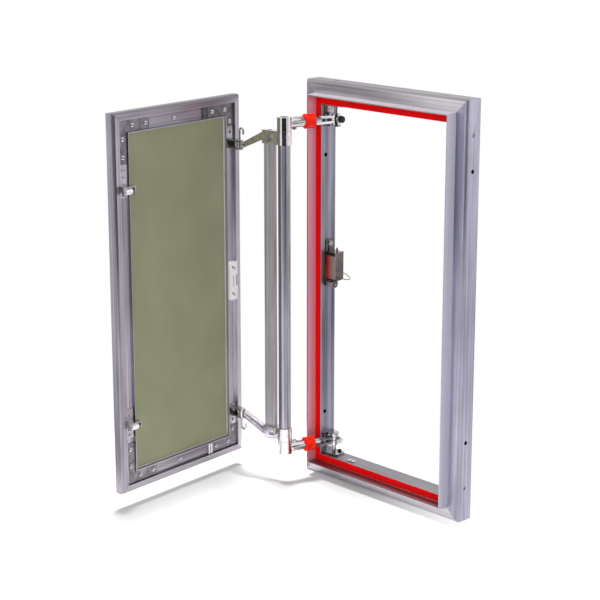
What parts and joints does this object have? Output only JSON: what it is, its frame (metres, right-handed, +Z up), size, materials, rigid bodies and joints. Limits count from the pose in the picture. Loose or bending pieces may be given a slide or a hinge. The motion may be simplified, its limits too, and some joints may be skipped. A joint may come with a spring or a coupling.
{
  "type": "access panel",
  "caption": "Tile access panel: mitred aluminium frame with seal, and a gypsum-board leaf on double-pivot hinges with bumper sleeves, guide rollers and a push latch, shown open.",
  "frame": {"origin": "middle of the wall frame's bottom face, at half its depth", "axes": "+Z up, +X along the wall towards the frame's free side, +Y into the wall; the leaf opens towards -Y"},
  "size_m": [0.4032, 0.3427, 0.6],
  "materials": {
    "aluminium": "mill-finished extrusion",
    "seal_rubber": "smooth red rubber",
    "zinc_steel": "dull zinc-plated sheet",
    "plated_steel": "bright nickel plating",
    "black_steel": "blackened steel",
    "red_plastic": "glossy moulded plastic",
    "white_plastic": "moulded plastic",
    "bright_sheet": "bright zinc-plated sheet",
    "gypsum_board": "paper-faced green gypsum board",
    "adhesive": "smoothed bead"
  },
  "bodies": {
    "frame": {"frame_top_rail": "aluminium", "frame_bottom_rail": "aluminium", "frame_hinge_stile": "aluminium", "frame_free_stile": "aluminium", "frame_corner_cleats": "aluminium", "seal_top": "seal_rubber", "seal_bottom": "seal_rubber", "seal_hinge_side": "seal_rubber", "seal_free_side": "seal_rubber", "frame_bracket_top": "plated_steel", "frame_bracket_bottom": "plated_steel", "frame_bracket_screws": "black_steel", "latch_plate": "zinc_steel", "latch_housing": "zinc_steel", "latch_spring": "zinc_steel", "latch_wire_loop": "plated_steel", "latch_screws": "plated_steel", "rail_clip": "plated_steel"},
    "latch_yoke": {"latch_yoke": "zinc_steel", "latch_axle": "plated_steel"},
    "latch_roller": {"latch_roller": "plated_steel"},
    "frame_arm": {"frame_hinge_pin_top": "plated_steel", "frame_hinge_pin_bottom": "plated_steel", "frame_arm_top": "plated_steel", "frame_arm_bottom": "plated_steel", "arm_sleeve_top": "red_plastic", "arm_sleeve_bottom": "red_plastic", "arm_clamp_bolts": "black_steel", "arm_grub_screws": "plated_steel", "elbow_post": "aluminium"},
    "door_arm": {"door_arm_top": "plated_steel", "door_arm_bottom": "plated_steel", "brace_bar": "aluminium", "brace_bar_screws": "plated_steel"},
    "leaf": {"door_top_rail": "aluminium", "door_bottom_rail": "aluminium", "door_hinge_stile": "aluminium", "door_free_stile": "aluminium", "door_board": "gypsum_board", "door_board_bond": "adhesive", "corner_plate_1": "zinc_steel", "corner_plate_2": "zinc_steel", "corner_plate_3": "zinc_steel", "corner_plate_4": "zinc_steel", "door_rivets": "plated_steel", "channel_clips": "plated_steel", "door_bracket_top": "zinc_steel", "door_bracket_bottom": "zinc_steel", "door_hinge_pin_top": "plated_steel", "door_hinge_pin_bottom": "plated_steel", "striker_block": "white_plastic", "striker_screws": "plated_steel", "guide_bracket_top": "bright_sheet", "guide_bracket_bottom": "bright_sheet", "guide_axles": "plated_steel", "guide_screws": "plated_steel"},
    "guide_roller_top": {"guide_roller_top": "white_plastic"},
    "guide_roller_bottom": {"guide_roller_bottom": "white_plastic"}
  },
  "joints": [
    {"name": "frame_arm_swing", "type": "hinge", "parent": "frame", "child": "frame_arm", "pos_m": [-0.1085, 0.003, 0.3], "axis": [0, 0, 1], "range_deg": [-3, 109.49]},
    {"name": "elbow_fold", "type": "hinge", "parent": "frame_arm", "child": "door_arm", "pos_m": [-0.13229, -0.078, 0.3], "axis": [0, 0, 1], "range_deg": [-119.4, 3.3]},
    {"name": "leaf_swing", "type": "hinge", "parent": "door_arm", "child": "leaf", "pos_m": [-0.21018, -0.09325, 0.3], "axis": [0, 0, 1], "range_deg": [-2.6, 93.6]},
    {"name": "latch_slide", "type": "slide", "parent": "frame", "child": "latch_yoke", "axis": [0, 0, 1], "range_m": [-0.006, 0], "stiffness_N_per_m": 500, "springref_m": 0.01, "deforming": ["latch_spring"]},
    {"name": "latch_roller_spin", "type": "hinge", "parent": "latch_yoke", "child": "latch_roller", "pos_m": [-0.1107, -0.002, 0.2986], "axis": [1, 0, 0], "continuous": true},
    {"name": "guide_roller_top_spin", "type": "hinge", "parent": "leaf", "child": "guide_roller_top", "pos_m": [-0.20222, -0.30757, 0.466], "axis": [0.1097, -0.994, 0], "continuous": true},
    {"name": "guide_roller_bottom_spin", "type": "hinge", "parent": "leaf", "child": "guide_roller_bottom", "pos_m": [-0.20222, -0.30757, 0.1255], "axis": [0.1097, -0.994, 0], "continuous": true}
  ],
  "couplings": [
    {"joint": "elbow_fold", "follows": "frame_arm_swing", "ratio": -1.0901},
    {"joint": "leaf_swing", "follows": "frame_arm_swing", "ratio": 0.8545}
  ]
}
